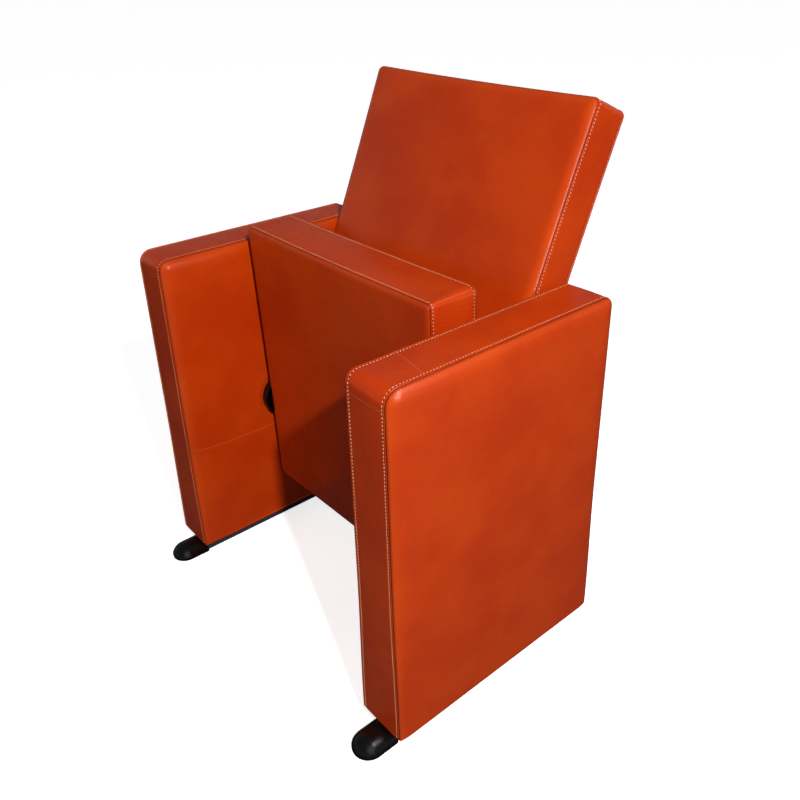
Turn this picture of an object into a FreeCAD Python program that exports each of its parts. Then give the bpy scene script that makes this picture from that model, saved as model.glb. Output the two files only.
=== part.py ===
import FreeCAD, Part
import math
import os

# Tip-up training chair: two upholstered arm panels on steel feet carry a reclined back and a seat that
# folds up between them by itself. Millimetres, +Z up, the front faces -Y, mirror plane x = 0.
# While it is built, y = 0 is the seat's pivot line and z = 0 the floor; at the end the whole chair is
# moved so that the origin is the middle of its footprint.

V = FreeCAD.Vector
X_AXIS = V(1, 0, 0)
Z_AXIS = V(0, 0, 1)

# Fits
FIT = 0.3                  # between pieces that are slid or stuffed together
RUN = 0.05                 # running and press clearance on a radius
HOLE_PLAY = 0.5            # bolt and pin holes in board and cover, on the radius

# Feet
BAR_W = 50.0               # foot bar, a rectangular steel tube
BAR_H = 22.0
BAR_WALL = 2.0
BAR_EDGE_R = 3.0
GLIDE = 1.5                # the caps hold the bar this far off the floor
SHADOW_GAP = 4.5           # between the bar and the panel above it
CAP_LIP = 2.0              # caps stand out past the bar's sides
CAP_PLUG = 25.0            # length pushed into the bar
TOE_REACH = 51.5           # nose of the toe cap, in front of the panel
TOE_TAIL = 12.0            # end of the toe cap, behind the panel's front
TOE_SIDE = 5.0             # upright part of the nose's side
HEEL_T = 10.0
HEEL_EDGE_R = 5.0

# Arm panels
CLEAR_WIDTH = 514.4        # between the two panels
PANEL_T = 85.6
PANEL_H = 600.0
PIVOT_TO_FRONT = 207.0     # pivot line to the panel's front
PIVOT_TO_REAR = 229.0      # pivot line to the panel's rear
ARM_FRONT_R = 28.0
ARM_REAR_R = 18.0
PANEL_FOOT_R = 4.0
PANEL_ROLL = 6.0           # soft edge between a face and the strip round it
PANEL_CROWN = 1.6
PANEL_BULGE = 0.8          # the strip swells between its seams
COVER_T = 8.5              # leather with its foam
BOARD_T = 14.0
RAIL_T = 25.0
POST_D = 40.0              # steel posts, front to rear
POST_WALL = 2.0
POST_SPARE = 60.0          # pivot post above the pivot
BACK_POST_SPARE = 40.0     # back post above its upper bolt

# Pivot
PIVOT_Z = 304.0
PIN_R = 8.0
BUSH_WALL = 2.0
BUSH_COLLAR_T = 1.2        # thrust collar against the hub cup's floor
SIDE_GAP = 19.0            # between panel and seat
HUB_CLEAR = 4.0            # between hub cup and the seat's flat side
HUB_R = 44.0
HUB_WALL = 3.0
HUB_FLOOR = 2.5
HUB_LIP_R = 2.0
HUB_INSET = 1.0            # stop arm below the cup's rim
LAYER_GAP = 0.6            # between moving layers in the cup
ARM_T = 5.0                # stop arm
ARM_W = 12.0
ARM_HUB_WALL = 4.0
ARM_TIP_GAP = 4.0          # stop arm's tip to the cup's wall
BOSS_WALL = 4.0            # seat bracket's boss where the stop arm sits
BOSS_FLAT = 2.0            # depth of the two flats that key the stop arm
BOSS_NECK = 1.9            # boss wall inside the return spring
BUFFER_T = 7.0
RIB_T = 8.0
SPRING_T = 1.2
SPRING_PITCH = 2.6
SPRING_TURNS = 3
SPRING_TANG = 1.5
ANCHOR_R = 3.0
SEAT_SWING = 78.0          # degrees from tipped up to down

# Seat, in its own frame: pivot at the origin, z towards its front edge, y towards the sitting face
SEAT_LEAN = 1.8            # degrees past upright when tipped up
SEAT_UNDER = 34.0          # pivot to the underside
SEAT_OVER = 58.0           # pivot to the sitting face
SEAT_FRONT_REACH = 357.0
SEAT_REAR_REACH = 168.0
SEAT_FRONT_R = 9.0
SEAT_REAR_R = 18.0
SEAT_ROLL = 8.0
SEAT_CROWN = 6.0
SEAT_UNDER_CROWN = 1.5
SEAT_BULGE = 1.5
SEAT_PULL = 2.0            # sides drawn in between the corners
SKIN = 2.0                 # leather of seat and back
SEAT_BOARD_T = 15.0
SEAT_BOARD_R = 12.0
SEAT_UNDER_FOAM = 12.0
SEAT_SIDE_FOAM = 12.0
SEAT_EDGE_FOAM = 16.0
SEAT_PLATE_UP = 22.0       # side plate above the pivot line
SEAT_PLATE_FRONT = 95.0
SEAT_PLATE_REAR = 45.0
SEAT_FLANGE_W = 45.0

# Back, in its own frame: top front edge at the origin, z up along it, y through it to the rear
BACK_RECLINE = 23.3        # degrees from upright
BACK_TO_SEAT = 10.2        # from the tipped-up seat's crown to the front above the tucked lower edge
BACK_RISE = 595.0
BACK_GAP = 4.0             # between back and panel
BACK_L = 540.0
BACK_T = 76.0
BACK_TOP_R = 20.0
BACK_BOTTOM_R = 14.0
BACK_TUCK_R = 45.0         # lower front edge, rounded away from the tipped-up seat
BACK_ROLL = 9.0
BACK_CROWN = 5.0
BACK_REAR_CROWN = 2.0
BACK_BULGE = 1.2
BACK_PULL = 2.0
BACK_BOARD_T = 15.0
BACK_BOARD_R = 15.0
BACK_REAR_FOAM = 15.0
BACK_EDGE_FOAM = 16.0
BRACKET_BELOW_ARM = 115.4  # arm top to the middle of the side bracket
BACK_BRACKET_H = 120.0
BACK_BRACKET_W = 30.0
BACK_FLANGE_L = 55.0
BACK_BOLT_SPACING = 45.0

# Padded forms
DOME_SHARE = 0.33          # crown rises over this share of the shorter side
CORNER_GROWTH = 0.25       # corners get rounder towards the crown
CORNER_LEAST = 1.5
OUTER_STEPS = 3            # sections over a crown, and over a rolled edge
INNER_STEPS = 1
STRIP_SHARES = (0.2, 0.5, 0.8)

# Steel angles and fasteners
BRACKET_T = 4.0
BOLT_R = 4.0
BOLT_HEAD_R = 6.5
BOLT_HEAD_T = 5.0
SCREW_R = 2.5
SCREW_HEAD_R = 5.0
SCREW_HEAD_T = 2.5
SCREW_MARGIN = 15.0        # outer screws to the flange's ends
SCREW_SHORT = 2.0          # screw points stop this far short of the board's other face

# Worked out
BAR_TOP = GLIDE + BAR_H
PANEL_BOTTOM = BAR_TOP + SHADOW_GAP
PANEL_TOP = PANEL_BOTTOM + PANEL_H
PANEL_IN = CLEAR_WIDTH / 2
PANEL_MID = PANEL_IN + PANEL_T / 2
PANEL_OUT = PANEL_IN + PANEL_T
BOX_INSET = COVER_T + FIT                  # wooden box inside the cover
BOX_IN = PANEL_IN + BOX_INSET
BOX_OUT = PANEL_OUT - BOX_INSET
POST_IN = BOX_IN + BOARD_T
POST_OUT = BOX_OUT - BOARD_T
ARM_RAIL_Z = PANEL_TOP - BOX_INSET - RAIL_T

SEAT_HALF = CLEAR_WIDTH / 2 - SIDE_GAP
SEAT_T = SEAT_UNDER + SEAT_OVER
SEAT_PLATE_OUT = SEAT_HALF - SEAT_SIDE_FOAM
SEAT_PLATE_IN = SEAT_PLATE_OUT - BRACKET_T
SEAT_BOARD_Y = SEAT_UNDER_FOAM - SEAT_UNDER
SEAT_BOARD_TOP = SEAT_BOARD_Y + SEAT_BOARD_T

BACK_HALF = CLEAR_WIDTH / 2 - BACK_GAP
BACK_BOARD_REAR = BACK_T - BACK_REAR_FOAM
BACK_BOLT_Y = BACK_BOARD_REAR + (BRACKET_T - BACK_BRACKET_W) / 2
BACK_TOP_Z = PIVOT_Z + BACK_RISE
RECLINE_SIN = math.sin(math.radians(BACK_RECLINE))
RECLINE_COS = math.cos(math.radians(BACK_RECLINE))
BACK_TOP_Y = SEAT_OVER + SEAT_CROWN + BACK_TO_SEAT + (BACK_L - BACK_TUCK_R) * RECLINE_SIN
BACK_BRACKET_DROP = (BACK_TOP_Z - PANEL_TOP + BRACKET_BELOW_ARM - BACK_BOLT_Y * RECLINE_SIN) / RECLINE_COS

BUSH_IN_R = PIN_R + RUN
BUSH_OUT_R = BUSH_IN_R + BUSH_WALL
BORE_R = BUSH_OUT_R + RUN
BOSS_R = BORE_R + BOSS_WALL
NECK_R = BORE_R + BOSS_NECK
HUB_D = SIDE_GAP - HUB_CLEAR
HUB_RIM = PANEL_IN - HUB_D
HUB_BORE = HUB_R - HUB_WALL
ARM_IN = HUB_RIM + HUB_INSET
ARM_OUT = ARM_IN + ARM_T
SPRING_IN = ARM_OUT + LAYER_GAP
HUB_FLOOR_IN = PANEL_IN - HUB_FLOOR
BOSS_END = HUB_FLOOR_IN - FIT - BUSH_COLLAR_T
ARM_REACH = HUB_BORE - ARM_TIP_GAP
ARM_HUB_R = BOSS_R + ARM_HUB_WALL


# Helpers

def box(x0, x1, y0, y1, z0, z1):
    return Part.makeBox(x1 - x0, y1 - y0, z1 - z0, V(x0, y0, z0))


def rod(x0, x1, radius, y=0.0, z=0.0):
    return Part.makeCylinder(radius, x1 - x0, V(x0, y, z), X_AXIS)


def prism(wire, along):
    return Part.Face(wire).extrude(along)


def arc(a, b, c):
    return Part.Arc(a, b, c).toShape()


def outline(at, low, high, radii, pull=0.0):
    """Closed outline round a rectangle: four sides, drawn in by pull at mid-length, and four corner arcs.

    at(h, v) gives the point in space; radii go round from the corner at low."""
    corners = [(low[0], low[1]), (high[0], low[1]), (high[0], high[1]), (low[0], high[1])]
    ways = [(1, 0), (0, 1), (-1, 0), (0, -1)]
    bend = 1 - math.sqrt(0.5)
    edges = []
    for i in range(4):
        j = (i + 1) % 4
        corner, way, r = corners[i], ways[i], radii[i]
        next_corner, next_way, next_r = corners[j], ways[j], radii[j]
        start = (corner[0] + way[0] * r, corner[1] + way[1] * r)
        stop = (next_corner[0] - way[0] * next_r, next_corner[1] - way[1] * next_r)
        middle = ((start[0] + stop[0]) / 2 - way[1] * pull, (start[1] + stop[1]) / 2 + way[0] * pull)
        if pull:
            edges.append(arc(at(*start), at(*middle), at(*stop)))
        else:
            edges.append(Part.LineSegment(at(*start), at(*stop)).toShape())
        turn = (next_corner[0] + (next_way[0] - way[0]) * next_r * bend,
                next_corner[1] + (next_way[1] - way[1]) * next_r * bend)
        end = (next_corner[0] + next_way[0] * next_r, next_corner[1] + next_way[1] * next_r)
        edges.append(arc(at(*stop), at(*turn), at(*end)))
    return Part.Wire(edges)


def round_over(depth, radius):
    """How far a quarter-round edge has drawn in at a depth below its face."""
    left = max(radius - depth, 0.0)
    return radius - math.sqrt(radius * radius - left * left)


def face_stations(edge, crown, dome, steps):
    """Depth and inset from the crown's flat middle out over the rolled edge to the strip."""
    shares = [k / steps for k in range(steps, 0, -1)]
    stations = [(-crown * (1 - (1 - k) ** 2), edge + (dome - edge) * k) for k in shares]
    turns = [math.radians(90 * k / steps) for k in range(steps + 1)]
    return stations + [(edge * (1 - math.cos(a)), edge * (1 - math.sin(a))) for a in turns]


def padded_form(place, low, high, radii, depth, roll, crowns, bulge, pull, shrink=0.0, tuck=0.0):
    """Sewn padded block: crowned faces, rolled edges and a swelling strip between the two seams.

    place(t, h, v) gives the point at depth t from the first face's seam. shrink makes the same form
    that much smaller all round, and tuck rounds the first face's lower edge further in."""
    thick = depth - 2 * shrink
    edge = roll - shrink / 2
    dome = DOME_SHARE * min(high[0] - low[0], high[1] - low[1])
    steps = INNER_STEPS if shrink else OUTER_STEPS
    first = face_stations(edge, crowns[0], dome, steps)
    last = [(thick - t, inset) for t, inset in reversed(face_stations(edge, crowns[1], dome, steps))]
    strip = [(edge + (thick - 2 * edge) * k, -4 * bulge * k * (1 - k)) for k in STRIP_SHARES]
    wires = []
    for t, inset in first + strip + last:
        cut = inset + shrink
        lower = cut
        if tuck:
            lower += round_over(max(t, 0.0), tuck)
        corner = [max(r - cut, CORNER_LEAST) if inset <= edge else r + CORNER_GROWTH * inset for r in radii]
        wires.append(outline(lambda h, v: place(t + shrink, h, v),
                             (low[0] + cut, low[1] + lower), (high[0] - cut, high[1] - cut), corner, pull))
    solid = Part.makeLoft(wires, True, True)
    if solid.Volume < 0:
        solid.reverse()
    return solid


def fuse(first, *others):
    return first.fuse(list(others)).removeSplitter()


def on_seat(shape):
    """From the seat's own frame to its tipped-up place."""
    shape.rotate(V(0, 0, 0), X_AXIS, SEAT_LEAN)
    shape.translate(V(0, 0, PIVOT_Z))
    return shape


def on_back(shape):
    """From the back's own frame to its reclined place."""
    shape.rotate(V(0, 0, 0), X_AXIS, -BACK_RECLINE)
    shape.translate(V(0, BACK_TOP_Y, BACK_TOP_Z))
    return shape


# Feet

def foot_bar():
    y0 = TOE_TAIL - PIVOT_TO_FRONT
    y1 = PIVOT_TO_REAR - HEEL_T
    walls = []
    for inset, r in ((0.0, BAR_EDGE_R), (BAR_WALL, BAR_EDGE_R - BAR_WALL)):
        low = (PANEL_MID - BAR_W / 2 + inset, GLIDE + inset)
        high = (PANEL_MID + BAR_W / 2 - inset, BAR_TOP - inset)
        walls.append(prism(outline(lambda h, v: V(h, y0, v), low, high, [r] * 4), V(0, y1 - y0, 0)))
    return walls[0].cut(walls[1])


def cap_plug(y0, y1):
    side = BAR_W / 2 - BAR_WALL - FIT
    return box(PANEL_MID - side, PANEL_MID + side, y0, y1, GLIDE + BAR_WALL + FIT, BAR_TOP - BAR_WALL - FIT)


def toe_cap():
    """Round-nosed cap: a domed section that runs forward and is turned half round to close the nose."""
    half = BAR_W / 2 + CAP_LIP
    rise = BAR_TOP - TOE_SIDE
    dome_r = (half * half + rise * rise) / (2 * rise)
    lean = math.asin(half / dome_r) / 2
    shoulder = (dome_r * math.sin(lean), BAR_TOP - dome_r + dome_r * math.cos(lean))
    turn_y = half - TOE_REACH - PIVOT_TO_FRONT
    tail_y = TOE_TAIL - PIVOT_TO_FRONT

    def at(h, v):
        return V(PANEL_MID + h, turn_y, v)

    right = [Part.makeLine(at(0, 0), at(half, 0)), Part.makeLine(at(half, 0), at(half, TOE_SIDE)),
             arc(at(half, TOE_SIDE), at(*shoulder), at(0, BAR_TOP))]
    section = Part.Wire(right + [Part.makeLine(at(0, BAR_TOP), at(0, 0))])
    nose = Part.Face(section).revolve(at(0, 0), Z_AXIS, -180)
    half_body = prism(section, V(0, tail_y - turn_y, 0))
    other_half = half_body.mirror(at(0, 0), X_AXIS)
    return fuse(nose, half_body, other_half, cap_plug(tail_y, tail_y + CAP_PLUG))


def heel_cap():
    half = BAR_W / 2 + CAP_LIP
    y0 = PIVOT_TO_REAR - HEEL_T
    plate = prism(outline(lambda h, v: V(h, v, 0), (PANEL_MID - half, y0), (PANEL_MID + half, PIVOT_TO_REAR),
                          [BAR_EDGE_R, BAR_EDGE_R, HEEL_EDGE_R, HEEL_EDGE_R]), V(0, 0, BAR_TOP))
    return fuse(plate, cap_plug(y0 - CAP_PLUG, y0))


# Arm panels

def panel_outline(x, inset):
    """Side view of the panel, drawn in all round but at the bottom."""
    low = (inset - PIVOT_TO_FRONT, PANEL_BOTTOM)
    high = (PIVOT_TO_REAR - inset, PANEL_TOP - inset)
    foot = PANEL_FOOT_R / 2
    return outline(lambda h, v: V(x, h, v), low, high, [foot, foot, ARM_REAR_R - inset, ARM_FRONT_R - inset])


def side_cover():
    """Leather and foam sleeve of the arm panel, open below."""
    form = padded_form(lambda t, h, v: V(PANEL_IN + PANEL_CROWN + t, h, v),
                       (-PIVOT_TO_FRONT, PANEL_BOTTOM), (PIVOT_TO_REAR, PANEL_TOP),
                       [PANEL_FOOT_R, PANEL_FOOT_R, ARM_REAR_R, ARM_FRONT_R],
                       PANEL_T - 2 * PANEL_CROWN, PANEL_ROLL, (PANEL_CROWN, PANEL_CROWN), PANEL_BULGE, 0.0)
    room = prism(panel_outline(PANEL_IN + COVER_T, COVER_T), V(PANEL_T - 2 * COVER_T, 0, 0))
    mouth = box(PANEL_IN + COVER_T, PANEL_OUT - COVER_T, COVER_T - PIVOT_TO_FRONT, PIVOT_TO_REAR - COVER_T,
                PANEL_BOTTOM - COVER_T, PANEL_BOTTOM + COVER_T)
    return form.cut([room, mouth, pin_hole()] + back_bolt_holes())


def panel_board(x):
    return prism(panel_outline(x, BOX_INSET), V(BOARD_T, 0, 0))


def inner_board():
    return panel_board(BOX_IN).cut([pin_hole()] + back_bolt_holes())


def outer_board():
    return panel_board(POST_OUT)


def arm_rail():
    core = prism(panel_outline(POST_IN, BOX_INSET), V(POST_OUT - POST_IN, 0, 0))
    return core.common(box(POST_IN, POST_OUT, -PIVOT_TO_FRONT, PIVOT_TO_REAR, ARM_RAIL_Z, PANEL_TOP))


def front_rail():
    y0 = BOX_INSET - PIVOT_TO_FRONT
    return box(POST_IN, POST_OUT, y0, y0 + RAIL_T, PANEL_BOTTOM, ARM_RAIL_Z)


def rear_rail():
    """Batten that fills from the back post to the rear edge."""
    return box(POST_IN, POST_OUT, back_post_y() + POST_D / 2, PIVOT_TO_REAR - BOX_INSET, PANEL_BOTTOM, ARM_RAIL_Z)


def bottom_rails():
    """Two short boards across the bottom, before and behind the pivot post."""
    y0 = BOX_INSET - PIVOT_TO_FRONT + RAIL_T
    y1 = back_post_y() - POST_D / 2
    board = box(POST_IN, POST_OUT, y0, y1, PANEL_BOTTOM, PANEL_BOTTOM + BOARD_T)
    half = POST_D / 2 + FIT
    return board.cut(box(POST_IN, POST_OUT, -half, half, PANEL_BOTTOM, PANEL_BOTTOM + BOARD_T))


def post(y, top):
    tube = box(POST_IN, POST_OUT, y - POST_D / 2, y + POST_D / 2, BAR_TOP, top)
    bore = box(POST_IN + POST_WALL, POST_OUT - POST_WALL, y - POST_D / 2 + POST_WALL, y + POST_D / 2 - POST_WALL,
               BAR_TOP, top)
    return tube.cut(bore)


def pivot_post():
    return post(0.0, PIVOT_Z + POST_SPARE).cut(rod(POST_IN, POST_OUT, PIN_R + RUN, 0, PIVOT_Z))


def back_bolt_places():
    """Each bolt's y and z on the chair."""
    return [(BACK_TOP_Y + along * RECLINE_SIN + BACK_BOLT_Y * RECLINE_COS,
             BACK_TOP_Z + along * RECLINE_COS - BACK_BOLT_Y * RECLINE_SIN) for along in back_bolt_heights()]


def back_post_y():
    lower, upper = back_bolt_places()
    return (lower[0] + upper[0]) / 2


def back_post():
    top = back_bolt_places()[1][1] + BACK_POST_SPARE
    holes = [rod(POST_IN, POST_IN + POST_WALL, BOLT_R + RUN, y, z) for y, z in back_bolt_places()]
    return post(back_post_y(), top).cut(holes)


def back_bolt_holes():
    return [rod(BACK_HALF, POST_IN, BOLT_R + HOLE_PLAY, y, z) for y, z in back_bolt_places()]


def pin_hole():
    return rod(PANEL_IN - COVER_T, POST_IN, PIN_R + HOLE_PLAY, 0, PIVOT_Z)


# Pivot

def pivot_pin():
    return on_seat(rod(SEAT_PLATE_IN, POST_OUT, PIN_R))


def pivot_bush():
    sleeve = rod(SEAT_PLATE_IN, BOSS_END, BUSH_OUT_R)
    collar = rod(BOSS_END, BOSS_END + BUSH_COLLAR_T, NECK_R)
    return on_seat(fuse(sleeve, collar).cut(rod(SEAT_PLATE_IN, HUB_FLOOR_IN, BUSH_IN_R)))


def keyed(radius, play):
    """Round bar with two flats, where the stop arm sits on the boss."""
    flat = BOSS_R - BOSS_FLAT + play
    return rod(ARM_IN, ARM_OUT, radius).common(box(ARM_IN, ARM_OUT, -flat, flat, -radius, radius))


def stop_arm():
    lever = box(ARM_IN, ARM_OUT, -ARM_W / 2, ARM_W / 2, -ARM_REACH, 0)
    arm = fuse(rod(ARM_IN, ARM_OUT, ARM_HUB_R), lever)
    return on_seat(arm.cut(keyed(BOSS_R + RUN, RUN)))


def beside_arm(near, far, reach):
    """Block in the stop arm's layer, on its front side, from near to far off the arm."""
    y = -ARM_W / 2 - FIT
    return box(ARM_IN, ARM_OUT, y - far, y - near, -reach, -ARM_HUB_R - FIT)


def at_stop(shape, lowered):
    """The same block at the seat's other stop: mirrored to the arm's rear side and swung with it."""
    if not lowered:
        return shape
    moved = shape.mirror(V(0, 0, 0), V(0, 1, 0))
    moved.rotate(V(0, 0, 0), X_AXIS, SEAT_SWING)
    return moved


def buffer(lowered):
    return on_seat(at_stop(beside_arm(0.0, BUFFER_T, ARM_REACH), lowered))


def spring_radius(i):
    """Inner radius of the spring's half turn i."""
    return NECK_R + FIT + i * SPRING_PITCH / 2


def return_spring():
    """Flat spiral spring: half turns about two centres, with an inner tang in the boss."""
    half_turns = 2 * SPRING_TURNS

    def side(offset):
        edges = []
        for i in range(half_turns):
            r = spring_radius(i) + offset
            middle = SPRING_PITCH / 2 * (i % 2)
            way = 1 - 2 * (i % 2)
            edges.append(arc(V(SPRING_IN, middle + way * r, 0), V(SPRING_IN, middle, way * r),
                             V(SPRING_IN, middle - way * r, 0)))
        return edges

    first = spring_radius(0)
    last = spring_radius(half_turns)
    start = Part.makeLine(V(SPRING_IN, first, 0), V(SPRING_IN, first + SPRING_T, 0))
    stop = Part.makeLine(V(SPRING_IN, last, 0), V(SPRING_IN, last + SPRING_T, 0))
    strip = prism(Part.Wire(Part.__sortEdges__(side(0.0) + [stop] + side(SPRING_T) + [start])),
                  V(BOSS_END - SPRING_IN, 0, 0))
    tang = box(SPRING_IN, BOSS_END, first - SPRING_TANG, first + SPRING_T, -SPRING_T, 0)
    return on_seat(fuse(strip, tang))


def hub_cup():
    """Moulded cup on the panel's face that hides the spring and holds the two stops."""
    cup = rod(HUB_RIM, PANEL_IN, HUB_R)
    rim = [e for e in cup.Edges if abs(e.BoundBox.XMin - HUB_RIM) < RUN and abs(e.BoundBox.XMax - HUB_RIM) < RUN]
    cup = cup.makeFillet(HUB_LIP_R, rim)
    cup = cup.cut(rod(HUB_RIM, HUB_FLOOR_IN, HUB_BORE))
    inside = rod(ARM_IN, ARM_OUT, HUB_BORE + HUB_WALL / 2)
    ribs = [at_stop(beside_arm(BUFFER_T, BUFFER_T + RIB_T, HUB_R).common(inside), low) for low in (False, True)]
    turn_below = spring_radius(2 * SPRING_TURNS) - SPRING_PITCH + SPRING_T
    anchor = rod(SPRING_IN, HUB_FLOOR_IN, ANCHOR_R, turn_below + 2 * FIT + ANCHOR_R, ANCHOR_R)
    return on_seat(fuse(cup, anchor, *ribs).cut(rod(HUB_RIM, PANEL_IN, PIN_R + RUN)))


# Seat

def seat_bracket():
    """Steel angle on the seat board's side with the boss that turns on the pivot pin."""
    z0, z1 = -SEAT_PLATE_REAR, SEAT_PLATE_FRONT
    plate = box(SEAT_PLATE_IN, SEAT_PLATE_OUT, SEAT_BOARD_Y, SEAT_PLATE_UP, z0, z1)
    flange = box(SEAT_PLATE_OUT - SEAT_FLANGE_W, SEAT_PLATE_OUT, SEAT_BOARD_TOP, SEAT_BOARD_TOP + BRACKET_T, z0, z1)
    boss = [rod(SEAT_PLATE_IN, ARM_IN, BOSS_R), keyed(BOSS_R, 0.0), rod(ARM_OUT, BOSS_END, NECK_R)]
    slot = box(SPRING_IN - FIT, BOSS_END, spring_radius(0) - SPRING_TANG - FIT, BOSS_R, -SPRING_T - FIT, FIT)
    holes = [rod(SEAT_PLATE_IN, BOSS_END, BORE_R), slot]
    holes += [seat_screw_hole(z) for z in seat_screw_places()]
    room = box(SEAT_PLATE_OUT - SEAT_FLANGE_W, SEAT_PLATE_IN, SEAT_BOARD_TOP + BRACKET_T, SEAT_PLATE_UP, z0, z1)
    return on_seat(fuse(plate, flange, *boss).cut(holes + [room]))


def seat_screw_places():
    z0, z1 = SCREW_MARGIN - SEAT_PLATE_REAR, SEAT_PLATE_FRONT - SCREW_MARGIN
    return [z0, (z0 + z1) / 2, z1]


def seat_screw_x():
    return SEAT_PLATE_OUT - SEAT_FLANGE_W + SCREW_MARGIN


def seat_screw_hole(z):
    start = V(seat_screw_x(), SEAT_BOARD_Y + SCREW_SHORT, z)
    return Part.makeCylinder(SCREW_R + RUN, SEAT_BOARD_T + BRACKET_T, start, V(0, 1, 0))


def seat_screws():
    screws = []
    for z in seat_screw_places():
        shank = Part.makeCylinder(SCREW_R, SEAT_BOARD_T + BRACKET_T - SCREW_SHORT,
                                  V(seat_screw_x(), SEAT_BOARD_Y + SCREW_SHORT, z), V(0, 1, 0))
        head = Part.makeCylinder(SCREW_HEAD_R, SCREW_HEAD_T, V(seat_screw_x(), SEAT_BOARD_TOP + BRACKET_T, z),
                                 V(0, 1, 0))
        screws.append(on_seat(fuse(shank, head)))
    return screws


def seat_board():
    half = SEAT_PLATE_IN - FIT
    board = prism(outline(lambda h, v: V(h, SEAT_BOARD_Y, v), (-half, SEAT_EDGE_FOAM - SEAT_REAR_REACH),
                          (half, SEAT_FRONT_REACH - SEAT_EDGE_FOAM), [SEAT_BOARD_R] * 4), V(0, SEAT_BOARD_T, 0))
    holes = both_sides([seat_screw_hole(z) for z in seat_screw_places()])
    return on_seat(board.cut(holes))


def seat_form(shrink):
    return padded_form(lambda t, h, v: V(h, t - SEAT_UNDER, v),
                       (-SEAT_HALF, -SEAT_REAR_REACH), (SEAT_HALF, SEAT_FRONT_REACH),
                       [SEAT_REAR_R, SEAT_REAR_R, SEAT_FRONT_R, SEAT_FRONT_R],
                       SEAT_T, SEAT_ROLL, (SEAT_UNDER_CROWN, SEAT_CROWN), SEAT_BULGE, SEAT_PULL, shrink)


def boss_hole():
    return rod(SEAT_PLATE_OUT - FIT, PANEL_IN, BOSS_R + FIT)


def seat_cover():
    return on_seat(seat_form(0.0).cut([seat_form(SKIN)] + both_sides([boss_hole()])))


def seat_foam():
    """Foam round the board, with room for the brackets."""
    half = SEAT_PLATE_OUT - SEAT_FLANGE_W - FIT
    z0, z1 = -SEAT_PLATE_REAR - FIT, SEAT_PLATE_FRONT + FIT
    board = box(-SEAT_PLATE_IN, SEAT_PLATE_IN, SEAT_BOARD_Y - FIT, SEAT_BOARD_TOP + FIT,
                SEAT_EDGE_FOAM - SEAT_REAR_REACH - FIT, SEAT_FRONT_REACH - SEAT_EDGE_FOAM + FIT)
    bracket = box(half, SEAT_PLATE_OUT + FIT, SEAT_BOARD_Y - FIT, SEAT_PLATE_UP + FIT, z0, z1)
    return on_seat(seat_form(SKIN + FIT).cut([board] + both_sides([bracket, boss_hole()])))


# Back

def back_form(shrink):
    return padded_form(lambda t, h, v: V(h, t, v), (-BACK_HALF, -BACK_L), (BACK_HALF, 0.0),
                       [BACK_BOTTOM_R, BACK_BOTTOM_R, BACK_TOP_R, BACK_TOP_R],
                       BACK_T, BACK_ROLL, (BACK_CROWN, BACK_REAR_CROWN), BACK_BULGE, BACK_PULL, shrink,
                       BACK_TUCK_R - shrink)


def back_bracket_solid(grow):
    """Steel angle: one leg on the panel's face, the other behind the back board."""
    z0 = -BACK_BRACKET_DROP - BACK_BRACKET_H / 2 - grow
    z1 = -BACK_BRACKET_DROP + BACK_BRACKET_H / 2 + grow
    rear = BACK_BOARD_REAR + BRACKET_T + grow
    wall_leg = box(BACK_HALF - grow, PANEL_IN, rear - BACK_BRACKET_W - 2 * grow, rear, z0, z1)
    flange = box(BACK_HALF - BACK_FLANGE_L - grow, PANEL_IN, BACK_BOARD_REAR - grow, rear, z0, z1)
    return fuse(wall_leg, flange)


def back_bracket():
    holes = [rod(BACK_HALF, PANEL_IN, BOLT_R + RUN, BACK_BOLT_Y, z) for z in back_bolt_heights()]
    return on_back(back_bracket_solid(0.0).cut(holes + [back_screw_hole(z) for z in back_screw_heights()]))


def back_bolt_heights():
    return [-BACK_BRACKET_DROP + way * BACK_BOLT_SPACING / 2 for way in (-1, 1)]


def back_screw_heights():
    return [-BACK_BRACKET_DROP + way * (BACK_BRACKET_H / 2 - SCREW_MARGIN) for way in (-1, 1)]


def back_screw_x():
    return BACK_HALF - BACK_FLANGE_L + SCREW_MARGIN


def back_bolts():
    bolts = []
    for z in back_bolt_heights():
        shank = rod(BACK_HALF, POST_IN + POST_WALL, BOLT_R, BACK_BOLT_Y, z)
        head = rod(POST_IN + POST_WALL, POST_IN + POST_WALL + BOLT_HEAD_T, BOLT_HEAD_R, BACK_BOLT_Y, z)
        bolts.append(on_back(fuse(shank, head)))
    return bolts


def back_screw_hole(z):
    start = V(back_screw_x(), BACK_BOARD_REAR - BACK_BOARD_T + SCREW_SHORT, z)
    return Part.makeCylinder(SCREW_R + RUN, BACK_BOARD_T + BRACKET_T, start, V(0, 1, 0))


def back_screws():
    screws = []
    for z in back_screw_heights():
        shank = Part.makeCylinder(SCREW_R, BACK_BOARD_T + BRACKET_T - SCREW_SHORT,
                                  V(back_screw_x(), BACK_BOARD_REAR - BACK_BOARD_T + SCREW_SHORT, z), V(0, 1, 0))
        head = Part.makeCylinder(SCREW_HEAD_R, SCREW_HEAD_T, V(back_screw_x(), BACK_BOARD_REAR + BRACKET_T, z),
                                 V(0, 1, 0))
        screws.append(on_back(fuse(shank, head)))
    return screws


def back_board():
    half = BACK_HALF - BACK_EDGE_FOAM
    board = prism(outline(lambda h, v: V(h, BACK_BOARD_REAR - BACK_BOARD_T, v), (-half, BACK_EDGE_FOAM - BACK_L),
                          (half, -BACK_EDGE_FOAM), [BACK_BOARD_R] * 4), V(0, BACK_BOARD_T, 0))
    return on_back(board.cut(both_sides([back_screw_hole(z) for z in back_screw_heights()])))


def back_cover():
    return on_back(back_form(0.0).cut([back_form(SKIN)] + both_sides([back_bracket_solid(FIT)])))


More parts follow.
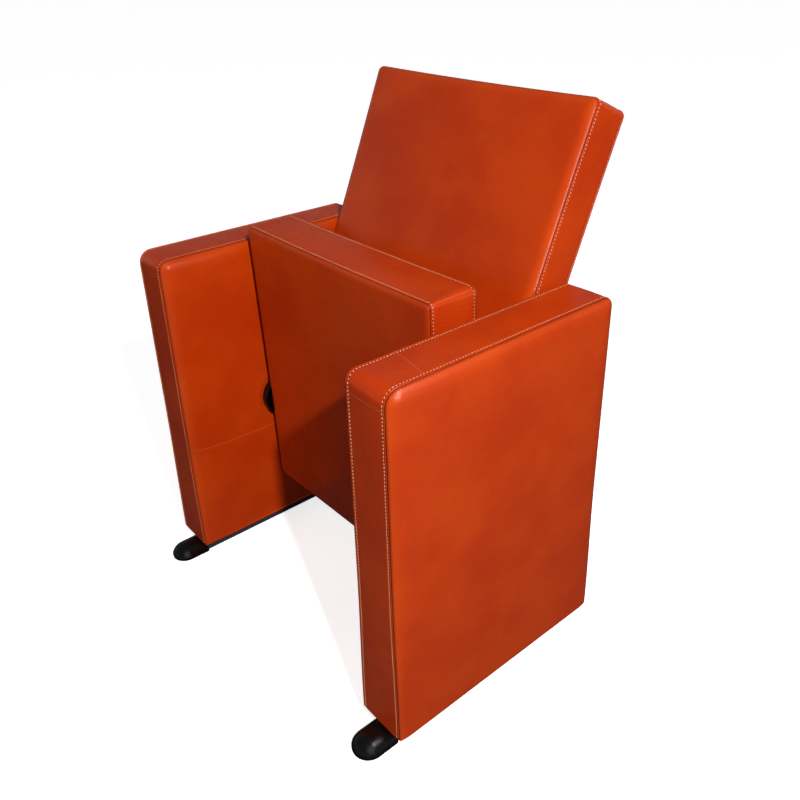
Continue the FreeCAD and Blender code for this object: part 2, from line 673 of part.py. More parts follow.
def back_foam():
    half = BACK_HALF - BACK_EDGE_FOAM + FIT
    board = box(-half, half, BACK_BOARD_REAR - BACK_BOARD_T - FIT, BACK_BOARD_REAR + FIT,
                BACK_EDGE_FOAM - BACK_L - FIT, FIT - BACK_EDGE_FOAM)
    heads = [Part.makeCylinder(SCREW_HEAD_R + FIT, BRACKET_T + SCREW_HEAD_T + FIT, V(back_screw_x(), BACK_BOARD_REAR, z),
                               V(0, 1, 0)) for z in back_screw_heights()]
    return on_back(back_form(SKIN + FIT).cut([board] + both_sides([back_bracket_solid(FIT)] + heads)))


# Assembly

def mirrored(shape):
    return shape.mirror(V(0, 0, 0), X_AXIS)


def both_sides(shapes):
    return shapes + [mirrored(s) for s in shapes]


SIDE_PIECES = {
    "foot_bar": foot_bar, "toe_cap": toe_cap, "heel_cap": heel_cap,
    "pivot_post": pivot_post, "back_post": back_post,
    "inner_board": inner_board, "outer_board": outer_board, "arm_rail": arm_rail,
    "front_rail": front_rail, "rear_rail": rear_rail, "bottom_rails": bottom_rails, "side_cover": side_cover,
    "hub_cup": hub_cup, "pivot_pin": pivot_pin, "pivot_bush": pivot_bush, "stop_arm": stop_arm,
    "return_spring": return_spring, "up_buffer": lambda: buffer(False), "down_buffer": lambda: buffer(True),
    "seat_bracket": seat_bracket, "back_bracket": back_bracket,
}
MIDDLE_PIECES = {
    "seat_cover": seat_cover, "seat_foam": seat_foam, "seat_board": seat_board,
    "back_cover": back_cover, "back_foam": back_foam, "back_board": back_board,
}
FASTENERS = {"seat_screws": seat_screws, "back_bolts": back_bolts, "back_screws": back_screws}

pieces = {}
for name, make in SIDE_PIECES.items():
    right = make()
    pieces["right_" + name] = right
    pieces["left_" + name] = mirrored(right)
for name, make in MIDDLE_PIECES.items():
    pieces[name] = make()
for name, make in FASTENERS.items():
    pieces[name] = Part.makeCompound(both_sides(make()))

front = min(shape.BoundBox.YMin for shape in pieces.values())
rear = max(shape.BoundBox.YMax for shape in pieces.values())
os.makedirs("parts", exist_ok=True)
for name, shape in pieces.items():
    shape.translate(V(0, -(front + rear) / 2, 0))
    shape.exportStep("parts/%s.step" % name)
print("pivot line at y %.2f, footprint %.1f deep, seat swing %.0f degrees"
      % (-(front + rear) / 2, rear - front, SEAT_SWING))
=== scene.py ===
# %% [markdown]
# A tip-up training chair in tan leather. Two arm panels stand on dark steel feet and carry a reclined back,
# and the seat folds up between them. The hard parts come from the imported CAD model. Every padded part is
# made here again, because leather needs rolled edges, seams, stitches and grain that a solid doesn't have.
# The imported model is loaded first, so that each new piece can take the place of the solid that it stands
# for.

# %% Load the imported chair
import bmesh
import bpy
import math
import numpy as np
from mathutils import Matrix, Vector


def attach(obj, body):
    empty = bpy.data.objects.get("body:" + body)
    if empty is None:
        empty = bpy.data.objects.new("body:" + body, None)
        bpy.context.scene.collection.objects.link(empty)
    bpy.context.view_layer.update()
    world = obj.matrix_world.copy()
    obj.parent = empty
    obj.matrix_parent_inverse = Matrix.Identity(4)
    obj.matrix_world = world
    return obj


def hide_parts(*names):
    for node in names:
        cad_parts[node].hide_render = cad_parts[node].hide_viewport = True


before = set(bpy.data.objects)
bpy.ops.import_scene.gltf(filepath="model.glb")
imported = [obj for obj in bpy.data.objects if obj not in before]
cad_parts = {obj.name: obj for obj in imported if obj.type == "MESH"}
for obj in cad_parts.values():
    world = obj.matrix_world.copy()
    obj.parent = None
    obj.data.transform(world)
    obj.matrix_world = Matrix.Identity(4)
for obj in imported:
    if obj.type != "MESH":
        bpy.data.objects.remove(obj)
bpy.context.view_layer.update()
MM = 0.001

# %% [markdown]
# The camera comes before any looks, since it says which edges show. Its place was solved from straight
# edges of the photo: arm tops, panel corners and the back's outline. The chair isn't in the middle of the
# picture, and a small lens shift does that framing without turning the camera.

# %% Camera at the photo's viewpoint
PICTURE_PX = 800
FOCAL_PX = 818.9
SHIFT_PX = (-16.7, -44.8)
SENSOR_MM = 36.0
EYE = Vector((1.0024, -0.7612, 1.1027))
FORWARD = Vector((-0.6776, 0.5801, -0.4521)).normalized()
ROLL = math.radians(-1.04)


def new_object(name, data):
    """An object in the scene that shows a mesh, or is a camera or a lamp."""
    made = bpy.data.objects.new(name, data)
    bpy.context.scene.collection.objects.link(made)
    return made


level = FORWARD.cross(Vector((0, 0, 1))).normalized()
rising = level.cross(FORWARD)
right = level * math.cos(ROLL) + rising * math.sin(ROLL)
up = right.cross(FORWARD)
lens = bpy.data.cameras.new("photo_camera")
lens.sensor_width = SENSOR_MM
lens.lens = FOCAL_PX * SENSOR_MM / PICTURE_PX
lens.shift_x, lens.shift_y = (shift / PICTURE_PX for shift in SHIFT_PX)
lens.clip_end = 200
camera = new_object("photo_camera", lens)
axes = Matrix((right, up, -FORWARD)).transposed().to_4x4()
camera.matrix_world = Matrix.Translation(EYE) @ axes
bpy.context.scene.camera = camera
print("lens", round(lens.lens, 2), "mm")

# %% [markdown]
# A material is a small graph of nodes. Three helpers keep the graphs short: one turns the hex colours of a
# paint chart into the linear numbers that a shader needs, one adds any node with its settings and links,
# and one starts a material with the values that are the same all over it.

# %% Helpers for colours and nodes
def linear(code):
    """A hex colour, as on a paint chart, as the linear RGBA of a shader socket."""
    parts = [int(code[i:i + 2], 16) / 255 for i in (1, 3, 5)]
    return [p / 12.92 if p <= 0.04045 else ((p + 0.055) / 1.055) ** 2.4 for p in parts] + [1.0]


def add_node(tree, kind, inputs=(), **settings):
    """One node with its settings. An input is a value, or another node's output to link from."""
    node = tree.nodes.new(kind)
    for name, value in settings.items():
        setattr(node, name, value)
    for socket, value in dict(inputs).items():
        if isinstance(value, bpy.types.NodeSocket):
            tree.links.new(value, node.inputs[socket])
        else:
            node.inputs[socket].default_value = value
    return node


def new_material(name, **sockets):
    """A material, its tree and its Principled shader with some constant values."""
    material = bpy.data.materials.new(name)
    material.use_nodes = True
    shader = material.node_tree.nodes["Principled BSDF"]
    for socket, value in sockets.items():
        shader.inputs[socket.replace("_", " ")].default_value = value
    return material, material.node_tree, shader


print("tan in linear light:", [round(x, 3) for x in linear("#B03004")[:3]])

# %% [markdown]
# The leather is corrected-grain cow hide with a thin clear finish. Its look depends on where it lies, so
# the mesh brings six numbers for each point: how far it is stretched over an edge, which also places a
# painted highlight there, how deep it lies in a fold, which places painted shade there, how far off a plain
# join of two hides is, where it is along and across the nearest sewn seam, and how much it is gathered near
# a corner. Along is counted in stitches, join and across in mm. Painted pictures could carry the same marks,
# but numbers on the mesh stay sharp at any distance.

# %% Tan leather: clear finish and numbers
# A warm satin skin, with soft pinkish highlights wherever it rolls over an edge
tan_leather, hide, hide_shader = new_material(
    "finished_cow_hide_tan", IOR=1.42, Specular_Tint=linear("#F4B394"), Coat_Weight=0.45,
    Coat_Roughness=0.18)
# The stretch number also places a painted highlight on rolled edges, and the fold number places painted
# shade in folds.
NUMBERS = ("stretch_and_highlight", "fold_shade", "join", "along", "across", "gather")
number = {name: add_node(hide, "ShaderNodeAttribute", attribute_name=name).outputs["Fac"]
          for name in NUMBERS}
hide_place = add_node(hide, "ShaderNodeTexCoord").outputs["Object"]
print(tan_leather.name, "reads", ", ".join(NUMBERS))

# %% [markdown]
# Seams leave marks in the hide. A plain join is a thin pale line. A sewn seam has needle holes between its
# stitches, which lie in shade. Modelled holes would need a far finer mesh, so their shade is painted: a
# cosine along the seam peaks once for each stitch, and the distance from the row keeps the holes small.

# %% Tan leather: joins and painted shade of needle holes
STITCH_LINE = 5.3            # mm from the rolled edge to the row of stitches

off_join = add_node(hide, "ShaderNodeMath", {0: number["join"]}, operation="ABSOLUTE")
join = add_node(
    hide, "ShaderNodeMapRange",
    {"Value": off_join.outputs[0], "From Min": 0.3, "From Max": 1.6, "To Min": 1.0, "To Max": 0.0},
    interpolation_type="SMOOTHSTEP")
angle = add_node(hide, "ShaderNodeMath", {0: number["along"], 1: 2 * math.pi}, operation="MULTIPLY")
per_stitch = add_node(hide, "ShaderNodeMath", {0: angle.outputs[0]}, operation="COSINE")
beside_row = add_node(hide, "ShaderNodeMath", {0: number["across"], 1: STITCH_LINE}, operation="SUBTRACT")
off_row = add_node(hide, "ShaderNodeMath", {0: beside_row.outputs[0]}, operation="ABSOLUTE")
on_row = add_node(
    hide, "ShaderNodeMapRange",
    {"Value": off_row.outputs[0], "From Min": 0.4, "From Max": 1.1, "To Min": 1.0, "To Max": 0.0},
    interpolation_type="SMOOTHSTEP")
near_hole = add_node(
    hide, "ShaderNodeMapRange", {"Value": per_stitch.outputs[0], "From Min": 0.0, "From Max": 0.5},
    interpolation_type="SMOOTHSTEP")
hole = add_node(
    hide, "ShaderNodeMath", {0: on_row.outputs[0], 1: near_hole.outputs[0]}, operation="MULTIPLY")
# Painted shade in the needle holes
shaded = add_node(hide, "ShaderNodeMath", {0: hole.outputs[0], 1: 0.75}, operation="MULTIPLY")
print("needle holes lie", STITCH_LINE, "mm from the rolled edge")

# %% [markdown]
# Dyed hide is never one colour. It is uneven in soft clouds and finer mottles, and paler where it is
# stretched or joined. The pale band over each rolled edge is also a painted highlight, and the dark in folds
# and needle holes is painted shade. Each tone is laid over the last one by its own share. The finish
# follows: a little uneven, and glossier where an edge stretches it.

# %% Tan leather: dye, painted highlight and shade, and gloss
CLOUD_MM, MOTTLE_MM = 110, 14

clouds = add_node(
    hide, "ShaderNodeTexNoise", {"Vector": hide_place, "Scale": 1 / (CLOUD_MM * MM), "Detail": 4.0})
cloudy = add_node(
    hide, "ShaderNodeMapRange", {"Value": clouds.outputs["Fac"], "From Min": 0.32, "From Max": 0.68},
    interpolation_type="SMOOTHSTEP")
mottle = add_node(
    hide, "ShaderNodeTexNoise", {"Vector": hide_place, "Scale": 1 / (MOTTLE_MM * MM), "Detail": 3.0})
spotted = add_node(
    hide, "ShaderNodeMapRange",
    {"Value": mottle.outputs["Fac"], "From Min": 0.25, "From Max": 0.85, "To Max": 0.1},
    interpolation_type="SMOOTHSTEP")
# Paler where stretched, and a painted highlight along each rolled edge as well
pale_stretch_and_highlight = add_node(hide, "ShaderNodeMath", {0: number["stretch_and_highlight"], 1: 0.12}, operation="MULTIPLY")
pale_join = add_node(hide, "ShaderNodeMath", {0: join.outputs[0], 1: 0.3}, operation="MULTIPLY")
# Painted shade in the folds of the seams and in the needle holes
painted_shade = add_node(hide, "ShaderNodeMath", {0: number["fold_shade"], 1: shaded.outputs[0]}, operation="MAXIMUM")
colour = linear("#B03004")
# D0611F is the pale stretch with its painted highlight, #260903 the painted shade
for amount, code in ((cloudy, "#BC3A06"), (spotted, "#8E2602"), (pale_stretch_and_highlight, "#D0611F"),
                     (pale_join, "#CE6A35"), (painted_shade, "#260903")):
    layer = add_node(hide, "ShaderNodeMix", {"Factor": amount.outputs[0], "A": colour, "B": linear(code)},
                     data_type="RGBA")
    colour = layer.outputs["Result"]
hide.links.new(colour, hide_shader.inputs["Base Color"])

dull = add_node(
    hide, "ShaderNodeMapRange",
    {"Value": mottle.outputs["Fac"], "From Min": 0.3, "From Max": 0.7, "To Min": 0.38, "To Max": 0.45})
gloss = add_node(hide, "ShaderNodeMath", {0: number["stretch_and_highlight"], 1: -0.06, 2: dull.outputs[0]},
                 operation="MULTIPLY_ADD")
hide.links.new(gloss.outputs[0], hide_shader.inputs["Roughness"])
print("dye in clouds of", CLOUD_MM, "mm and mottles of", MOTTLE_MM, "mm")

# %% [markdown]
# Close by, the skin has slow swells, puckers between the stitches, small wrinkles near the corners and a
# ridge at each join. All are under a millimetre deep, so a bump does for them, and what is deeper is in the
# mesh. Grain comes last, on top of the rest. Real grain is about 1 mm wide, too fine for this picture, so
# it is drawn at 2 mm and kept shallow.

# %% Tan leather: relief
SWELL_MM, WRINKLE_MM, GRAIN_MM = 45, 8, 2
WAVE_BAND = 0.314            # width of one band in a wave texture of scale 1

swells = add_node(
    hide, "ShaderNodeTexNoise", {"Vector": hide_place, "Scale": 1 / (SWELL_MM * MM), "Detail": 2.0})
beside_seam = add_node(
    hide, "ShaderNodeMapRange",
    {"Value": number["across"], "From Min": 1.0, "From Max": 9.0, "To Min": -0.25, "To Max": 0.0},
    interpolation_type="SMOOTHSTEP")
pucker = add_node(
    hide, "ShaderNodeMath", {0: per_stitch.outputs[0], 1: beside_seam.outputs[0]}, operation="MULTIPLY")
waves = add_node(hide, "ShaderNodeMath", {0: swells.outputs["Fac"], 1: 1.2, 2: pucker.outputs[0]},
                 operation="MULTIPLY_ADD")
wrinkles = add_node(
    hide, "ShaderNodeTexWave",
    {"Vector": hide_place, "Scale": WAVE_BAND / (WRINKLE_MM * MM), "Distortion": 6.0, "Detail": 2.0,
     "Detail Scale": 0.6}, bands_direction="Z")
gathered = add_node(
    hide, "ShaderNodeMath", {0: number["gather"], 1: wrinkles.outputs["Fac"]}, operation="MULTIPLY")
ridges = add_node(hide, "ShaderNodeMath", {0: gathered.outputs[0], 1: 0.55, 2: waves.outputs[0]},
                  operation="MULTIPLY_ADD")
height = add_node(hide, "ShaderNodeMath", {0: join.outputs[0], 1: 0.25, 2: ridges.outputs[0]},
                  operation="MULTIPLY_ADD")
soft = add_node(hide, "ShaderNodeBump", {"Height": height.outputs[0], "Strength": 0.5, "Distance": 0.6 * MM})
grain = add_node(
    hide, "ShaderNodeTexVoronoi", {"Vector": hide_place, "Scale": 1 / (GRAIN_MM * MM), "Smoothness": 0.5},
    feature="SMOOTH_F1")
skin = add_node(
    hide, "ShaderNodeBump",
    {"Height": grain.outputs["Distance"], "Strength": 0.03, "Distance": 0.4 * MM,
     "Normal": soft.outputs["Normal"]})
hide.links.new(skin.outputs["Normal"], hide_shader.inputs["Normal"])
print(tan_leather.name, "has", len(hide.nodes), "nodes")

# %% [markdown]
# The seams are sewn with thick bonded polyester thread, which is two or three strands twisted together. Its
# coordinate map runs along and round each stitch, so slanted bands give the twist at its real 1 mm pitch.

# %% Sewing thread
def two_tone(tree, shader, share, first, second, strength, relief_mm):
    """Colours a shader between two hex colours by a share, which gives its relief as well."""
    tone = add_node(tree, "ShaderNodeMix", {"Factor": share, "A": linear(first), "B": linear(second)},
                    data_type="RGBA")
    tree.links.new(tone.outputs["Result"], shader.inputs["Base Color"])
    relief = add_node(
        tree, "ShaderNodeBump", {"Height": share, "Strength": strength, "Distance": relief_mm * MM})
    tree.links.new(relief.outputs["Normal"], shader.inputs["Normal"])


def sewing_thread():
    """Pale dull dashes from afar, and twisted strands close by."""
    material, tree, shader = new_material("bonded_polyester_thread_cream", Roughness=0.75, IOR=1.55)
    lay = add_node(tree, "ShaderNodeUVMap", uv_map="thread").outputs["UV"]
    twist = add_node(tree, "ShaderNodeTexWave", {"Vector": lay, "Scale": 1.0, "Distortion": 0.3},
                     bands_direction="DIAGONAL").outputs["Fac"]
    two_tone(tree, shader, twist, "#CE8458", "#F2B893", 0.5, 0.2)
    return material


cream_thread = sewing_thread()
print(cream_thread.name)

# %% [markdown]
# The hard parts keep their CAD shape and only get a finish. Each finish starts from how its surface was
# made: powder coat has a fine orange peel, moulded plastic is smooth with faint wear, zinc plate is
# slightly cloudy, and rubber and nylon are dull. They differ in numbers only, so one function makes them
# all from patches of a real size.

# %% Finishes of steel, plastic and rubber
def mottled(name, first, second, size_mm, relief_mm, rough, **sockets):
    """A finish with two tones in patches of a real size, and relief and roughness to match."""
    material, tree, shader = new_material(name, **sockets)
    place = add_node(tree, "ShaderNodeTexCoord").outputs["Object"]
    share = add_node(
        tree, "ShaderNodeTexNoise",
        {"Vector": place, "Scale": 1 / (size_mm * MM), "Detail": 4.0}).outputs["Fac"]
    two_tone(tree, shader, share, first, second, 0.4, relief_mm)
    dull = add_node(
        tree, "ShaderNodeMapRange",
        {"Value": share, "From Min": 0.3, "From Max": 0.7, "To Min": rough[0], "To Max": rough[1]})
    tree.links.new(dull.outputs["Result"], shader.inputs["Roughness"])
    return material


# Dark slate with a soft sheen, broken up by a fine orange peel
powder_coat = mottled("powder_coated_steel_slate", "#262C32", "#343B43", 1.2, 0.05, (0.38, 0.5), IOR=1.5)
# Deep black with small clear highlights on its round noses
black_moulding = mottled(
    "moulded_polypropylene_black", "#040404", "#090909", 9.0, 0.02, (0.24, 0.32), IOR=1.49)
# Bright cool metal, slightly cloudy
zinc_plate = mottled("zinc_plated_steel", "#A9ACAE", "#C3C5C4", 4.0, 0.02, (0.3, 0.45), Metallic=1.0)
# Darker, browner metal, wet with oil
spring_steel = mottled("oiled_spring_steel", "#4A4744", "#6A655F", 6.0, 0.02, (0.25, 0.4), Metallic=1.0)
# Dead black that hardly shines
rubber = mottled("moulded_rubber_black", "#141414", "#1F1F1F", 2.0, 0.05, (0.75, 0.9), IOR=1.52)
# Creamy white, as if waxed
nylon = mottled("turned_nylon_natural", "#D8D4C6", "#E4E0D4", 5.0, 0.02, (0.45, 0.55), IOR=1.53)
print(len(bpy.data.materials), "materials so far")

# %% [markdown]
# The panels' boxes are plywood and timber. Both have rings of early and late growth, drawn out along the
# board, so a wave texture is stretched in that direction. A photographed texture would show one board again
# and again.

# %% Finishes of wood
def boards(name, early, late, ring_mm, stretch):
    """Wood: rings of about this width, drawn out along the board, with a little relief."""
    material, tree, shader = new_material(name, Roughness=0.6, IOR=1.5)
    place = add_node(tree, "ShaderNodeTexCoord").outputs["Object"]
    drawn = add_node(tree, "ShaderNodeMapping", {"Vector": place, "Scale": stretch}).outputs["Vector"]
    rings = add_node(
        tree, "ShaderNodeTexWave",
        {"Vector": drawn, "Scale": 0.3 / (ring_mm * MM), "Distortion": 6.0, "Detail": 3.0}).outputs["Fac"]
    two_tone(tree, shader, rings, early, late, 0.3, 0.2)
    return material


# Pale and even, with faint rings
plywood = boards("birch_plywood", "#D6B486", "#C09A68", 4.0, (1.0, 1.0, 0.15))
# Yellower, with strong narrow rings
timber = boards("spruce_batten", "#DDBD8B", "#B98A55", 3.0, (1.0, 1.0, 0.1))

FINISHES = {
    "foot_bar": powder_coat, "toe_cap": black_moulding, "heel_cap": black_moulding,
    "hub_cup": black_moulding, "post": powder_coat, "bracket": powder_coat, "pivot_pin": zinc_plate,
    "bolts": zinc_plate, "screws": zinc_plate, "stop_arm": zinc_plate, "return_spring": spring_steel,
    "buffer": rubber, "pivot_bush": nylon, "board": plywood, "rail": timber, "cover": tan_leather,
    "foam": nylon,
}
for name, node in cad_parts.items():
    finish = next(FINISHES[kind] for kind in FINISHES if kind in name)
    node.data.materials.clear()
    node.data.materials.append(finish)
print(len(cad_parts), "CAD nodes have a finish")

# %% [markdown]
# A sewn cushion is two shaped faces and a strip between them. The face is rolled over the foam's edge and
# sewn to the strip, which leaves a fold, a thin bead of seam allowance beside it, and then a row of
# stitches. Cut across, every seam on this chair looks the same, so it is written once as a list of dents
# and ridges.

# %% Cross-section of a seam
# Each line: mm past the rolled edge, half width in mm, depth in mm (a ridge is negative)
SEAM = [(0.8, 0.7, 1.7), (2.3, 0.9, -0.5), (3.8, 0.6, 0.8), (5.4, 1.4, 0.4)]
# The darkness of these two dents is painted shade
SHADED_FOLDS = [(SEAM[0], 1.0), (SEAM[2], 0.5)]    # the two dents that look dark, and how dark they are
SEAM_STOPS = np.array([0, 0.25, 0.5, 0.8, 1.1, 1.4, 1.7, 2.0, 2.3, 2.6, 3.0, 3.3, 3.6, 3.9, 4.2, 4.6, 5.3,
                       6.2, 7.5, 9.5, 12])
FACE_STOPS = np.array([36, 28, 21, 15, 10.0])
ROLL_STEPS, STRIP_STEPS = 10, 6
LAST_TURN = math.radians(80)    # how far the leather has turned where it goes into the seam
SHOULDER_ARC = 1.3              # leather over a rolled shoulder, in mm for each mm of its width


def hump(past, at, half):
    return np.exp(-((past - at) / half) ** 2)


def seam_depth(past):
    return sum(deep * hump(past, at, half) for at, half, deep in SEAM)


def seam_profile(depth, edge):
    """Half of a block's section, from the face over its rolled shoulder to the middle of the strip.

    Columns: depth below the face, inset from the side, distance across from the seam, fold as painted shade,
    stretch that also paints a highlight."""
    roll, shoulder = edge
    face = [(0.0, shoulder + inset, inset + shoulder * SHOULDER_ARC) for inset in FACE_STOPS]
    rolled = [(roll * (1 - math.cos(a)) / (1 - math.cos(LAST_TURN)),
               shoulder * (1 - math.sin(a) / math.sin(LAST_TURN)),
               shoulder * SHOULDER_ARC * (1 - a / LAST_TURN))
              for a in np.linspace(0, LAST_TURN, ROLL_STEPS + 1)[:-1]]
    sewn = [(roll + past, seam_depth(past), past) for past in SEAM_STOPS]
    rest = [(t, 0.0, t - roll) for t in np.linspace(roll + SEAM_STOPS[-1], depth / 2, STRIP_STEPS)[1:]]
    rows = np.array(face + rolled + sewn + rest)
    past = rows[:, 0] - roll
    on_strip = past >= 0
    # Painted shade in the two dark dents, and on the rolled shoulder a stretch share that also paints a
    # highlight
    fold_shade = sum(painted_shade * hump(past, at, half) for (at, half, _), painted_shade in SHADED_FOLDS) * on_strip
    stretch_and_highlight = hump(rows[:, 2], roll, roll) * ~on_strip
    return np.column_stack([rows, fold_shade, stretch_and_highlight])


print("a seam is", round(float(seam_depth(SEAM_STOPS).max()), 2), "mm deep at most")

# %% [markdown]
# A block's outline is a rectangle with rounded corners. Every section through the block has the same number
# of points, so neighbouring sections join with quads, and the two faces are filled by a grid that runs
# between opposite sides. That gives even quads that shade smoothly, which a boolean or a bevelled cube
# doesn't.

# %% Outline of a block
CORNER_STEPS = 16
SPACING = 6.0                # mm between points along a side
LEAST_RADIUS = 3.0


def fractions(length):
    count = round(length / SPACING)
    return np.arange(1, count) / count


def rounded_ring(low, high, radii, across, up, pull):
    """Points round a rectangle from the middle of the corner at low, with sides drawn in by pull."""
    half = CORNER_STEPS // 2
    centres = [(low[0] + radii[0], low[1] + radii[0]), (high[0] - radii[1], low[1] + radii[1]),
               (high[0] - radii[2], high[1] - radii[2]), (low[0] + radii[3], high[1] - radii[3])]
    points = []
    for side in range(4):
        nearest, following = side, (side + 1) % 4
        start = math.radians(225 + 90 * side)
        leave = start + math.radians(45) * np.arange(half + 1)[:, None] / half
        enter = start + math.radians(45) * (1 + np.arange(half)[:, None] / half)
        first = np.array(centres[nearest]) + radii[nearest] * np.hstack([np.cos(leave), np.sin(leave)])
        last = np.array(centres[following]) + radii[following] * np.hstack([np.cos(enter), np.sin(enter)])
        share = (across, up)[side % 2][:, None]
        inward = np.array([-math.sin(math.radians(90 * side)), math.cos(math.radians(90 * side))])
        run = first[-1] + (last[0] - first[-1]) * share + inward * pull * 4 * share * (1 - share)
        points += [first, run, last]
    return np.vstack(points)


def outward(ring):
    """Unit normals in the outline's plane."""
    tangent = np.roll(ring, -1, 0) - np.roll(ring, 1, 0)
    normal = np.column_stack([tangent[:, 1], -tangent[:, 0]])
    return normal / np.linalg.norm(normal, axis=1)[:, None]


print("points on a side of 500 mm:", len(fractions(500)))

# %% [markdown]
# Leather over foam is a sheet that is held at its seams and pushed up from below, so its shape is left to a
# cloth simulation: a sheet pinned round its edge, slightly too large, with gentle pressure and no gravity.
# It runs for 20 frames, and its lift is kept as a table of shares from 0 at the seams to 1 at the top.
# Simulating the finished mesh would smooth its seams away, and a formula for the crown lacks the slack near
# the corners.

# %% Lift of a padded face, by cloth simulation
SHEET_STEPS = 36
SHEET_SIDE = 0.5             # m
SIM_FRAMES = 20
STUFF = {"vertex_group_mass": "seam", "mass": 0.4, "tension_stiffness": 20, "bending_stiffness": 4,
         "shrink_min": -0.01, "use_pressure": True, "uniform_pressure_force": 4}


def new_mesh(name, points, faces):
    """A mesh of points in m."""
    mesh = bpy.data.meshes.new(name)
    mesh.from_pydata(np.asarray(points).tolist(), [], np.asarray(faces).tolist())
    return mesh


def grid_quads(index):
    """Quads between neighbours in a table of point indices."""
    return np.stack([index[:-1, :-1], index[1:, :-1], index[1:, 1:], index[:-1, 1:]], -1).reshape(-1, 4)


def held_sheet():
    """A level sheet, a little uneven so that it can buckle, and the indices of its points in a square."""
    side = np.linspace(0, SHEET_SIDE, SHEET_STEPS + 1)
    x, y = np.meshgrid(side, side, indexing="ij")
    z = 0.0004 * np.sin(37 * x + 1.0) * np.sin(29 * y + 2.0)
    index = np.arange(x.size).reshape(x.shape)
    points = np.column_stack([x.ravel(), y.ravel(), z.ravel()])
    return new_object("sheet", new_mesh("sheet", points, grid_quads(index))), index


def simulated_lift():
    """Heights of a held sheet over swelling foam, as a square table of shares."""
    sheet, index = held_sheet()
    held = sheet.vertex_groups.new(name="seam")
    held.add(np.r_[index[0], index[-1], index[:, 0], index[:, -1]].tolist(), 1.0, "REPLACE")
    cloth = sheet.modifiers.new("leather", "CLOTH")
    for setting, value in STUFF.items():
        setattr(cloth.settings, setting, value)
    cloth.settings.effector_weights.gravity = 0
    cloth.collision_settings.use_collision = False
    cloth.point_cache.frame_end = SIM_FRAMES
    scene = bpy.context.scene
    for frame_number in range(1, SIM_FRAMES + 1):
        scene.frame_set(frame_number)
    shape = sheet.evaluated_get(bpy.context.evaluated_depsgraph_get()).data
    risen = np.array([v.co.z for v in shape.vertices]).reshape(index.shape)
    bpy.data.objects.remove(sheet)
    scene.frame_set(1)
    print("sheet rose", round(float(risen.max()) / MM, 1), "mm")
    return (risen / risen.max()).clip(0, 1)


LIFT = simulated_lift()
print("lift near a corner:", round(float(LIFT[2, 2]), 3), "of the whole")

# %% [markdown]
# The table shapes each padded face, together with what else pulls at its leather: slow waves from pulling
# it on by hand, the seams that lie nearer to the faces of an arm towards the floor, and the hub that
# presses into it. All of these move points of a flat section, so they are small functions of a point's
# place on the block: h across, v up and t through it, in mm.

# %% Padding
UNEVEN_MM = 0.5
WAVES = [(0.021, 0.012, 0.3), (-0.014, 0.027, 1.9), (0.033, -0.019, 4.1), (0.009, 0.041, 2.7)]
ON_FACE = 1.0                # mm below a flat face that still count as the face
HUB_EDGE = 8.0               # mm over which the dent round a hub fades out


def lifted_share(u, v):
    """The table's lift at shares u and v of a face's width and height."""
    a, b = (np.clip(w, 0, 1) * SHEET_STEPS for w in (u, v))
    i, j = (np.minimum(w.astype(int), SHEET_STEPS - 1) for w in (a, b))
    a, b = a - i, b - j
    return (LIFT[i, j] * (1 - a) * (1 - b) + LIFT[i + 1, j] * a * (1 - b) + LIFT[i, j + 1] * (1 - a) * b
            + LIFT[i + 1, j + 1] * a * b)


def unevenness(h, v, seed):
    """Slow waves in the pulled leather, from a few sines with fixed phases."""
    return sum(np.sin(a * h + b * v + c + 1.7 * seed) for a, b, c in WAVES) / len(WAVES)


def eased(share):
    return share ** 2 * (3 - 2 * share)


def settled(block, v, t):
    """Brings both seams nearer to their faces towards the floor, where the edge is sharper."""
    flat, full, most = block["settles"]
    share = most * eased(((full - v) / (full - flat)).clip(0, 1))
    half = block["depth"] / 2
    deep = half - np.abs(t - half)
    roll = np.where(t < half, block["rolls"][0][0], block["rolls"][1][0])
    pull = roll * share * np.minimum(deep / roll, (half - deep) / (half - roll))
    return np.where(t < half, t - pull, t + pull)


def crowned(block, points):
    """Lifts the faces of (h, v, t) points over their foam, and presses leather in where a hub sits on it."""
    h, v, t = points.T
    low, high = np.array(block["low"]), np.array(block["high"])
    rise = lifted_share((h - low[0]) / (high[0] - low[0]), (v - low[1]) / (high[1] - low[1]))
    first = t < block["depth"] / 2
    if "settles" in block:
        t = settled(block, v, t)
    crown = np.where(first, -block["crowns"][0], block["crowns"][1])
    wavy = UNEVEN_MM * unevenness(h, v, block["seed"] + first)
    lifted = t + crown * rise + wavy * (2 * rise).clip(0, 1)
    if "hub" in block:
        h0, v0, radius, depth = block["hub"]
        press = ((radius + HUB_EDGE - np.hypot(h - h0, v - v0)) / HUB_EDGE).clip(0, 1)
        lifted = np.where(first & (t < ON_FACE), lifted + depth * eased(press), lifted)
    return np.column_stack([h, v, lifted])


print("pulled leather waves by up to", UNEVEN_MM, "mm")

# %% [markdown]
# One function then sews any block. It stacks the sections from one face to the other, joins them with
# quads, and fills both faces. A section is the outline drawn in by the seam's depth, and the strip between
# the two seams swells a little, as stuffed strips do.

# %% Sections and faces of a block
def section_ring(block, t, inset):
    """The outline at depth t. A tuck rounds the block's lower edge off."""
    low, high = block["low"], block["high"]
    tuck = block.get("tuck", 0.0)
    drawn = tuck - math.sqrt(max(tuck ** 2 - max(tuck - t, 0.0) ** 2, 0.0))
    way = t / block["depth"]
    radii = [max(near + (far - near) * way - inset, LEAST_RADIUS) for near, far in block["radii"]]
    return rounded_ring((low[0] + inset, low[1] + inset + drawn), (high[0] - inset, high[1] - inset), radii,
                        fractions(high[0] - low[0]), fractions(high[1] - low[1]), block["pull"])


